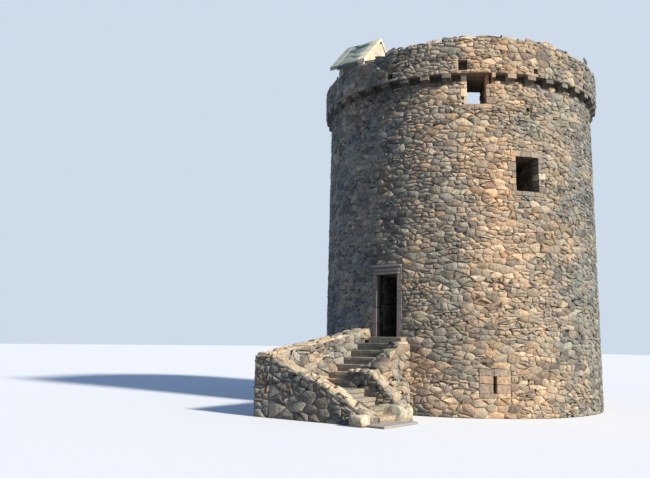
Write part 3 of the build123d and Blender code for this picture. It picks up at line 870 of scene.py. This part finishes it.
def level_place(tree):
    """A place's direction and distance from the tower's axis."""
    place = add_node(tree, "TexCoord").outputs["Object"]
    level = add_node(tree, "VectorMath", place, (1, 1, 0), operation="MULTIPLY")
    return level.outputs[0]


def painted_light_by_side(tree):
    """Colour by the side of the tower that a place is on: painted shade and painted light, and
    darker grey towards GREY_SIDE.
    """
    facing = add_node(tree, "VectorMath", level_place(tree), operation="NORMALIZE")
    pair = facing.outputs[0], polar(math.radians(GREY_SIDE))
    side = add_node(tree, "VectorMath", *pair, operation="DOT_PRODUCT")
    numbers = speckle(tree, SIDE_SCALE, 5.0), 0.7, side.outputs["Value"]
    uneven = add_node(tree, "Math", *numbers, operation="MULTIPLY_ADD")
    return ramp(tree, fade(tree, uneven.outputs[0], -0.65, 1.35), SIDES)


def painted_opening_shade(tree, back, front, least):
    """A factor of painted shade that darkens undersides and what lies back in an opening.

    It is full from the radius front outward, and least inward of the radius back.
    """
    reach = add_node(tree, "VectorMath", level_place(tree), operation="LENGTH")
    normal = add_node(tree, "TexCoord").outputs["Normal"]
    height = add_node(tree, "SeparateXYZ", normal).outputs["Z"]
    depth = fade(tree, reach.outputs["Value"], back, front, least)
    return multiply(tree, depth, fade(tree, height, -0.9, -0.4, 0.4))


def shown(tree):
    """1 where the camera sees a surface, straight or in a glossy or clear one."""
    path = add_node(tree, "LightPath").outputs
    total = path["Is Camera Ray"]
    for name in ("Is Glossy Ray", "Is Transmission Ray"):
        total = add_node(tree, "Math", total, path[name], operation="MAXIMUM").outputs[0]
    return total


def masonry_material(name, palette, lichen):
    """Weathered stone: a palette by stone, mottling, lichen patches and fine grain, with painted
    shade and light on some finishes.
    """
    grain, bump, growth = GRAINS.get(name, USUAL_GRAIN)
    contrast = 0.5 if name in SMOOTH else 0.9
    made = bpy.data.materials.new(name)
    made.use_nodes = True
    tree = made.node_tree
    shader = tree.nodes["Principled BSDF"]
    feed(tree, shader.inputs["Roughness"], 0.9)
    feed(tree, shader.inputs["Specular IOR Level"], 0.25)
    stops = [(i / len(palette), colour) for i, colour in enumerate(palette)]
    if name in TONELESS:
        colour = ramp(tree, speckle(tree, BED_SCALE), stops)
    else:
        tone = add_node(tree, "Attribute")
        tone.attribute_name = "tone"
        colour = ramp(tree, tone.outputs["Fac"], stops, "CONSTANT")
    tints = [
        (contrast, ramp(tree, speckle(tree, MOTTLE_SCALE * grain), MOTTLE)),
        (contrast, ramp(tree, speckle(tree, WIDE_SCALE, 5.0), WIDE)),
    ]
    # Painted shade and light by the side of the tower
    if name in SIDED:
        tints.append((1.0, painted_light_by_side(tree)))
    # Painted shade under things and back in the openings
    if name in PAINTED_SHADE_FINISHES:
        tints.append((1.0, painted_opening_shade(tree, *(DOOR_SHADE if name == "dressed" else WINDOW_SHADE))))
    for share, tint in tints:
        colour = blend_colour(tree, share, colour, tint, "MULTIPLY")
    mask = fade(tree, speckle(tree, LICHEN_SCALE), 0.52, 0.7)
    fine = fade(tree, speckle(tree, GROWTH_SCALE * grain), 0.45, 0.6)
    lichen = tuple(c * growth for c in lichen)
    colour = blend_colour(tree, multiply(tree, mask, fine), colour, lichen)
    feed(tree, shader.inputs["Base Color"], colour)
    height = speckle(tree, GRAIN_SCALE * grain, 8.0)
    relief = add_node(tree, "Bump", Strength=bump, Distance=0.02, Height=height)
    feed(tree, shader.inputs["Normal"], relief.outputs["Normal"])
    return made


MATERIALS = {}


def material(name):
    """Makes each finish once, from the colours in the sidebar."""
    if name in MATERIALS:
        return MATERIALS[name]
    colours = bpy.context.scene.keep_colours
    grey, brown, pale, pink, lichen, mortar, slab = (
        tuple(getattr(colours, key)) for key in KeepColours.__annotations__
    )

    def shade(colour, factor):
        return tuple(c * factor for c in colour)

    def mix(first, second, share=0.5):
        return tuple(a + (b - a) * share for a, b in zip(first, second))

    rubble = [
        *(grey, shade(grey, 0.72), brown, shade(grey, 1.15), mix(grey, brown)),
        *(shade(brown, 0.72), mix(grey, pale, 0.3), mix(grey, lichen, 0.35)),
        *(shade(grey, 0.86), mix(brown, pink), shade(brown, 1.1), mix(brown, pale, 0.35)),
        *(shade(grey, 1.04), shade(pink, 0.8), mix(grey, pale, 0.7), shade(grey, 0.6)),
    ]
    lit = [pale, shade(pale, 0.75), brown, mix(pale, brown), grey, mix(pale, pink, 0.4)]
    palettes = {
        "rubble": rubble,
        "mortar": [shade(mortar, 0.8), mortar, shade(mortar, 1.2)],
        "lintel": [
            *(shade(grey, 0.8), mix(grey, pink), shade(grey, 0.95)),
            *(brown, mix(grey, pale, 0.4)),
        ],
        "landing": [(0.36, 0.345, 0.32)],
        "boulder": [mix(grey, pale, 0.8), mix(pale, lichen, 0.35)],
        "edge": [shade(colour, 0.86) for colour in (*lit, shade(pale, 1.1))],
        # Painted shade: the rubble darkened for the rooms, the reveals and the block in the drain
        "damp": [shade(colour, 0.32) for colour in rubble],
        # Painted shadow on the corbels' infill, under the parapet
        "recess": [shade(mortar, 0.1), shade(mortar, 0.2)],
        "quoin": [
            *(mix(grey, pink, 0.4), shade(grey, 0.9), shade(pale, 1.2)),
            *(brown, shade(grey, 0.75)),
        ],
        "dressed": [pink, shade(pink, 0.85), mix(pink, grey), shade(pink, 1.12)],
        "cope": [pale, shade(pale, 0.88), mix(pale, brown, 0.25), shade(pale, 1.1)],
        # Painted light and shade: the near skew's stones paler than pale stone, the far skew's
        # darker
        "skew": [
            *(shade(pale, 1.25), shade(pale, 1.1), shade(pale, 1.32), shade(pale, 1.2)),
            mix(slab, pale, 0.3),
        ],
        "slab": [slab, shade(slab, 0.8), mix(slab, grey), shade(slab, 1.15)],
        # Painted shadow on the roof's solids at the eave, which also darkens the joints between
        # the slabs
        "eaves": [shade(slab, 0.45)],
        "corbel": [shade(grey, 0.8), shade(grey, 0.6), mix(grey, brown)],
        "paving": [
            *(mix(shade(grey, 0.7), shade(lichen, 0.7)), shade(grey, 0.85)),
            *(mix(grey, brown), shade(grey, 0.6)),
        ],
    }
    MATERIALS[name] = masonry_material(name, palettes[name], lichen)
    return MATERIALS[name]


# Settings shown in the sidebar


def length_property(name, description, default, least=0.0):
    """A length of the sidebar."""
    return FloatProperty(
        name=name, description=description, default=default, min=least, unit="LENGTH"
    )


def colour_property(name, description, default):
    """A colour of the sidebar."""
    return FloatVectorProperty(
        name=name, description=description, default=default, min=0.0, max=1.0, subtype="COLOR"
    )


class KeepSizes(PropertyGroup):
    stone_length: length_property(
        "Stone length", "Usual length of a stone of the tower's face", 0.195, 0.1
    )
    stone_height: length_property(
        "Course height", "Usual height of a course of the tower's face", 0.108, 0.05
    )
    joint: length_property("Joint", "Width of the mortar joints between stones", 0.01)
    proud: length_property("Stone relief", "How far the stones stand out of their mortar", 0.024)
    roughness: FloatProperty(
        name="Roughness",
        description="How uneven the stones are laid",
        default=1.0,
        min=0.0,
        max=2.0,
        subtype="FACTOR",
    )
    seed: IntProperty(
        name="Seed", description="Another number lays the stones another way", default=7, min=0
    )


class KeepColours(PropertyGroup):
    grey: colour_property("Grey stone", "Main rubble stone", (0.385, 0.342, 0.288))
    brown: colour_property("Brown stone", "Warmer rubble stone", (0.48, 0.375, 0.27))
    pale: colour_property("Pale stone", "Lightest stones and copes", (0.70, 0.60, 0.45))
    pink: colour_property("Dressed stone", "Worked stone round the openings", (0.27, 0.23, 0.205))
    lichen: colour_property("Lichen", "Growth on the stones", (0.33, 0.35, 0.27))
    mortar: colour_property("Mortar", "Bed that the stones lie in", (0.44, 0.385, 0.31))
    slab: colour_property("Roof slab", "Stone slabs of the cap-house", (0.27, 0.345, 0.325))


class StageSettings(PropertyGroup):
    floor: colour_property("Floor", "Colour of the floor", (0.78, 0.78, 0.77))
    sun: FloatProperty(
        name="Key light", description="Strength of the key light", default=5.8, min=0.0
    )


# Operators


class KEEP_OT_tower_face(Operator):
    """Lay the rubble of the tower's outer face"""

    bl_idname = "keep.tower_face"
    bl_label = "Tower Face"

    def execute(self, context):
        spans = [DOOR_GAP]
        for angle, half, foot, head in WINDOWS:
            spans.append((angle, half + WINDOW_JAMB, foot - SILL_HEIGHT, foot))
            if head < WALL_HEAD:
                spans.append((angle, half + WINDOW_JAMB, head, head + LINTEL_HEIGHT))
        spans += [SLIT_GAP, CELLAR_DOOR_GAP, PUTLOG_GAP]
        half = math.radians(CORBEL_ANGLE / 2) * HEAD_RADIUS + 0.01
        for i in range(360 // CORBEL_PITCH):
            spans.append((CORBEL_START + i * CORBEL_PITCH, half, CORBEL_BASE, WALL_HEAD + 0.1))
        holes = surround_holes(SEAM_ANGLE, BASE_RADIUS, spans)
        for i, (angle, half, _, _) in enumerate(WINDOWS):
            middle = math.radians((angle - SEAM_ANGLE) % 360) * BASE_RADIUS
            for foot, head, before, after in window_blocks(i):
                holes.append((middle - half - before, middle + half + after, foot, head))
        # The rubble stops a little above the corbels' foot, so that the infill's painted shadow
        # shows between the corbels
        bm = round_face(outer_radius, SEAM_ANGLE, (0.0, CORBEL_BASE + 0.12), holes, 0, parts=4)
        for i, side in enumerate(("back", "left", "front", "right")):
            share = bm.copy()
            layer = share.faces.layers.int["part"]
            rest = [face for face in share.faces if face[layer] != i]
            bmesh.ops.delete(share, geom=rest, context="FACES")
            finish_piece(f"tower_face_{side}", share, "rubble")
        bm.free()
        return {"FINISHED"}


def drains(start, radius, bottom):
    """The drain holes through the parapet, as holes of a bed bent round it."""
    spans = []
    for i in range(DRAIN_COUNT):
        half, tall = (0.15, 0.33) if i == 0 else (0.09, 0.17)
        spans.append((DRAIN_START + i * 360 / DRAIN_COUNT, half, bottom, bottom + tall))
    return surround_holes(start, radius, spans)


class KEEP_OT_parapet(Operator):
    """Lay the parapet's outer and inner faces and its cope"""

    bl_idname = "keep.parapet"
    bl_label = "Parapet"

    def execute(self, context):
        sizes = context.scene.keep_sizes
        whole = new_stones()
        crest = max(PARAPET_TOPS) + 0.1
        for inward, radius, bottom in (
            (False, PARAPET_RADIUS, WALL_HEAD),
            (True, PARAPET_INNER, WALK_LEVEL),
        ):
            arc = radius * math.radians(PARAPET_ARC)
            holes = drains(0, radius, WALK_LEVEL - bottom)
            for i, top in enumerate(PARAPET_TOPS):
                holes.append((i * arc, (i + 1) * arc, top - bottom, crest - bottom))
            choices = {"scale": 0.9, "inward": inward}
            bm = round_face(even(radius), 0, (bottom, crest), holes, 20 + inward, **choices)
            add_mesh(whole, bm)
        finish_piece("parapet_faces", whole, "rubble")

        whole = new_stones()
        width = PARAPET_INNER * math.radians(PARAPET_ARC)
        for i, top in enumerate(PARAPET_TOPS):
            bed = Bed(width, PARAPET_RADIUS - PARAPET_INNER, 0.3, 0.2, sizes.seed + 50 + i)
            bm = lay(bed, sizes.joint, 0.085, 1.4 * sizes.roughness)
            spread_ring(bm, PARAPET_INNER, (i + 1) * PARAPET_ARC, top)
            add_mesh(whole, bm)
        finish_piece("parapet_cope", whole, "rubble")

        # A dark block at the back of the big drain, with painted shade, so that the drain shows as
        # a dark niche
        bm = new_stones()
        turn = Matrix.Rotation(math.radians(DRAIN_START), 4, "Z")
        shift = Matrix.Translation((PARAPET_INNER + 0.12, 0, WALK_LEVEL + 0.155))
        size = Matrix.Diagonal((0.16, 0.262, 0.312, 1))
        bmesh.ops.create_cube(bm, size=1.0, matrix=turn @ shift @ size)
        wear(bm, 0.02, 0.01)
        finish_piece("drain_stop", bm, "damp")
        return {"FINISHED"}


class KEEP_OT_rooms(Operator):
    """Lay the rubble of the rooms' round walls, which show from above"""

    bl_idname = "keep.rooms"
    bl_label = "Rooms"

    def execute(self, context):
        for i, (name, (radius, bottom, top)) in enumerate(ROOMS.items()):
            spans = [(*gap[:2], gap[2] - bottom, gap[3] - bottom) for gap in ROOM_GAPS[name]]
            holes = surround_holes(SEAM_ANGLE, radius, spans)
            choices = {"scale": 1.6, "relief": 0.8, "inward": True}
            bm = round_face(even(radius), SEAM_ANGLE, (bottom, top), holes, 70 + i, **choices)
            # The rooms' rubble gets painted shade
            finish_piece(f"room_face_{name}", bm, "damp")
        return {"FINISHED"}


def upright(normal, middle):
    """Faces that stand up."""
    return abs(normal.z) < 0.3


def not_round(normal, middle):
    """Standing or lying faces of the tower's walls that aren't part of its round faces."""
    if abs(normal.z) > 0.3:
        return True
    outward = flat(middle.x, middle.y).normalized()
    return abs(normal.dot(outward)) < 0.85


def facing_up(least):
    """A test for faces that look up, by how much their normal has to rise."""
    return lambda normal, middle: normal.z > least


class KEEP_OT_flat_faces(Operator):
    """Lay the rubble of the reveals, the cellar and the forestair's walls"""

    bl_idname = "keep.flat_faces"
    bl_label = "Reveals, Cellar and Stair Walls"

    def execute(self, context):
        sizes = context.scene.keep_sizes
        length, course, joint = sizes.stone_length, sizes.stone_height, sizes.joint
        seed, proud = sizes.seed, sizes.proud
        names = sorted(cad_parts)
        walls = [name for name in names if name.startswith(("wall_", "cellar_wall"))]
        walls.remove("wall_walk_flags")
        size = 1.6 * length, 1.6 * course, joint, 0.7 * proud
        bm = dress_faces(walls, not_round, *size, seed + 200)
        # The reveals get painted shade
        finish_piece("reveal_faces", bm, "damp")
        floors = ("hall_floor", "cellar_floor")
        bm = dress_faces(floors, facing_up(0.9), 0.7, 0.5, 0.012, 0.012, seed + 250, 0.4)
        finish_piece("floor_flags", bm, "paving", "paving_stone")
        stairs = [name for name in names if name.startswith("stair_") and name.endswith("_wall")]
        size = 1.1 * length, 1.2 * course, joint, 1.2 * proud
        bm = dress_faces(stairs, upright, *size, seed + 300, 1.3)
        finish_piece("stair_faces", bm, "rubble")
        for name, walls, finish, slot in (
            ("stair_copes", stairs[:-1], "edge", "cope_stone"),
            ("right_wall_head", stairs[-1:], "rubble", "rubble_stone"),
        ):
            bm = dress_faces(walls, facing_up(0.5), 0.27, 0.21, joint, 0.055, seed + 400, 1.4)
            finish_piece(name, bm, finish, slot)
        return {"FINISHED"}


class KEEP_OT_worked_stone(Operator):
    """Cut the worked stones: jambs, lintels, sills, corbels, flags and treads"""

    bl_idname = "keep.worked_stone"
    bl_label = "Worked Stone"

    def execute(self, context):
        seed = context.scene.keep_sizes.seed
        groups = (
            ("door_stones", ("door_jambs",), 0.42, "dressed", "dressed_stone"),
            ("door_head", ("door_lintels", "door_hood"), 1.0, "dressed", "dressed_stone"),
            ("window_stones", ("window_jambs",), 0.2, "quoin", "dressed_stone"),
            ("window_heads", ("window_lintels", "window_sills"), 1.0, "lintel", "dressed_stone"),
            ("threshold_stone", ("door_threshold",), 1.0, "paving", "dressed_stone"),
            ("corbels", ("corbel_stones",), 1.0, "corbel", "corbel_stone"),
            ("walk_flags", ("wall_walk_flags",), 1.0, "paving", "paving_stone"),
            ("tread_slabs", ("stair_treads",), 1.0, "paving", "paving_stone"),
            ("foot_slab", ("stair_foot_slab",), 1.0, "landing", "paving_stone"),
            ("skew_stones", ("cap_house_skews",), 0.26, "skew", "cope_stone"),
        )
        for name, nodes, course, finish, slot in groups:
            worn = {"tread_slabs": 0.02, "door_stones": 0.001}.get(name, 0.009)
            if name == "window_stones":
                bm = cut_jambs(*nodes, 0.01, 0.016, 0.014, seed)
            elif name == "window_heads":
                bm = cut_blocks(nodes, course, 0.01, 0.016, 0.016, seed, 0.38)
            else:
                bm = cut_blocks(nodes, course, 0.008, 0.8 * worn + 0.006, worn, seed)
            # Painted light on the near skew, painted shade on the far one
            if name == "skew_stones":
                tone = bm.faces.layers.float["tone"]
                middle = (low(nodes[0]).x + high(nodes[0]).x) / 2
                for face in bm.faces:
                    near = face.calc_center_median().x > middle
                    face[tone] = 0.8 * face[tone] if near else 0.9
            piece = finish_piece(name, bm, finish, slot, smooth=False)
            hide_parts(*nodes)
        bm = new_stones()
        for rise in (0.035, 0.136):
            place = (0, -outer_radius(DOOR_HEAD) - 0.022, DOOR_HEAD + rise)
            size = Matrix.Diagonal((0.86, 0.05, 0.034, 1))
            bmesh.ops.create_cube(bm, size=1.0, matrix=Matrix.Translation(place) @ size)
        wear(bm, 0.008, 0.004)
        finish_piece("door_moulding", bm, "landing", "dressed_stone", smooth=False)
        return {"FINISHED"}


class KEEP_OT_foot_stones(Operator):
    """Set the big rounded stones that end the two walls at the stair's foot"""

    bl_idname = "keep.foot_stones"
    bl_label = "Foot Stones"

    def execute(self, context):
        whole = new_stones()
        every_way = {"use_axis_x": True, "use_axis_y": True, "use_axis_z": True}
        for middle, size, number in FOOT_STONES:
            bm = bmesh.new()
            bmesh.ops.create_cube(bm, size=1.0)
            bmesh.ops.subdivide_edges(bm, edges=bm.edges[:], cuts=5, use_grid_fill=True)
            for _ in range(9):
                bmesh.ops.smooth_vert(bm, verts=bm.verts[:], factor=0.5, **every_way)
            for v in bm.verts:
                v.co = Vector(a * b for a, b in zip(v.co, size)) + Vector(middle)
                v.co += noise.noise_vector(v.co * 3.7) * 0.07
                v.co.z = max(v.co.z, 0.0)
            add_toned(whole, bm, number)
        finish_piece("foot_stones", whole, "boulder", "cope_stone")
        return {"FINISHED"}


class KEEP_OT_cap_house(Operator):
    """Lay the cap-house's walls and its stone roof"""

    bl_idname = "keep.cap_house"
    bl_label = "Cap-House"

    def execute(self, context):
        seed = context.scene.keep_sizes.seed
        for name, node, finish in (
            ("cap_house_faces", "cap_house_gables", "cope"),
            ("cap_house_sides", "cap_house_walls", "rubble"),
        ):
            bm = dress_faces((node,), upright, 0.3, 0.15, 0.004, 0.009, seed + 500, 0.7)
            finish_piece(name, bm, finish)
        roof = ("cap_house_roof_outer", "cap_house_roof_inner")
        bm = dress_faces(roof, facing_up(0.4), 0.36, 0.2, 0.006, 0.03, seed + 600, 0.5)
        finish_piece("cap_house_slabs", bm, "slab", "roof_slabs")
        return {"FINISHED"}


class KEEP_OT_camera_and_stage(Operator):
    """Set up the camera, the floor and the lamps"""

    bl_idname = "keep.stage"
    bl_label = "Stage"

    def execute(self, context):
        scene = context.scene
        camera = bpy.data.cameras.new("camera")
        camera.sensor_width = SENSOR
        camera.lens = FOCAL_PIXELS / PHOTO_WIDTH * SENSOR
        camera.clip_end = 500
        eye = bpy.data.objects.new("camera", camera)
        eye.matrix_world = (
            Matrix.Translation(EYE)
            @ Matrix.Rotation(math.radians(HEADING), 4, "Z")
            @ Matrix.Rotation(math.radians(90 + PITCH), 4, "X")
            @ Matrix.Rotation(math.radians(ROLL), 4, "Z")
        )
        scene.collection.objects.link(eye)
        scene.camera = eye

        bm = bmesh.new()
        bmesh.ops.create_grid(bm, x_segments=1, y_segments=1, size=150)
        mesh = bpy.data.meshes.new("floor")
        bm.to_mesh(mesh)
        bm.free()
        floor = bpy.data.objects.new("floor", mesh)
        scene.collection.objects.link(floor)
        floor_material = bpy.data.materials.new("floor")
        floor_material.use_nodes = True
        tree = floor_material.node_tree
        shader = tree.nodes["Principled BSDF"]
        feed(tree, shader.inputs["Roughness"], 1.0)
        seen = tuple(scene.keep_stage.floor)
        shade = blend_colour(tree, shown(tree), tuple(FLOOR_LIGHT * c for c in seen), seen)
        feed(tree, shader.inputs["Base Color"], shade)
        mesh.materials.append(floor_material)

        world = bpy.data.worlds.new("world")
        world.use_nodes = True
        tree = world.node_tree
        light = tree.nodes["Background"]
        feed(tree, light.inputs["Color"], blend_colour(tree, shown(tree), SKY_LIGHT, SKY_SEEN))
        feed(tree, light.inputs["Strength"], 1.0)
        scene.world = world

        sun = bpy.data.lights.new("key", "SUN")
        sun.energy = scene.keep_stage.sun
        sun.angle = math.radians(SUN_ANGLE)
        sun.color = SUN_COLOUR
        lamp = bpy.data.objects.new("key", sun)
        lamp.rotation_euler = SUN_SIDE.to_track_quat("Z", "Y").to_euler()
        scene.collection.objects.link(lamp)
        scene.view_settings.view_transform = "Standard"
        return {"FINISHED"}


class KEEP_PT_sidebar(Panel):
    """Sizes, colours and pieces of the keep"""

    bl_idname = "KEEP_PT_sidebar"
    bl_label = "Tower Keep"
    bl_space_type = "VIEW_3D"
    bl_region_type = "UI"
    bl_category = "Tower Keep"

    def draw(self, context):
        layout = self.layout
        for group in (getattr(context.scene, name) for name in SETTINGS):
            box = layout.box()
            for name in group.__annotations__:
                box.prop(group, name)
        for operator in OPERATORS:
            layout.operator(operator.bl_idname)


OPERATORS = (
    KEEP_OT_camera_and_stage,
    KEEP_OT_tower_face,
    KEEP_OT_parapet,
    KEEP_OT_rooms,
    KEEP_OT_flat_faces,
    KEEP_OT_worked_stone,
    KEEP_OT_foot_stones,
    KEEP_OT_cap_house,
)
SETTINGS = {"keep_sizes": KeepSizes, "keep_colours": KeepColours, "keep_stage": StageSettings}
CLASSES = (*SETTINGS.values(), *OPERATORS, KEEP_PT_sidebar)


def register():
    for cls in CLASSES:
        bpy.utils.register_class(cls)
    for name, settings in SETTINGS.items():
        setattr(bpy.types.Scene, name, PointerProperty(type=settings))


def unregister():
    for name in SETTINGS:
        delattr(bpy.types.Scene, name)
    for cls in reversed(CLASSES):
        bpy.utils.unregister_class(cls)


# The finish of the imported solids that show, by how their names begin
BARE_FINISHES = {
    # The roof's solids have painted shadow
    "cap_house_roof": "eaves",
    "cap_house_walls": "mortar",
    "cap_house": "cope",
    "hall_floor": "paving",
    "cellar_floor": "paving",
    # The corbels' infill has painted shadow
    "corbel_infill": "recess",
}


def main():
    noise.seed_set(NOISE_SEED)
    register()
    bpy.ops.keep.stage()
    for node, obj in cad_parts.items():
        obj.data.materials.clear()
        found = (BARE_FINISHES[key] for key in BARE_FINISHES if node.startswith(key))
        obj.data.materials.append(material(next(found, "mortar")))
    bpy.ops.keep.tower_face()
    bpy.ops.keep.parapet()
    bpy.ops.keep.rooms()
    bpy.ops.keep.flat_faces()
    bpy.ops.keep.worked_stone()
    bpy.ops.keep.foot_stones()
    bpy.ops.keep.cap_house()


if __name__ == "__main__":
    main()
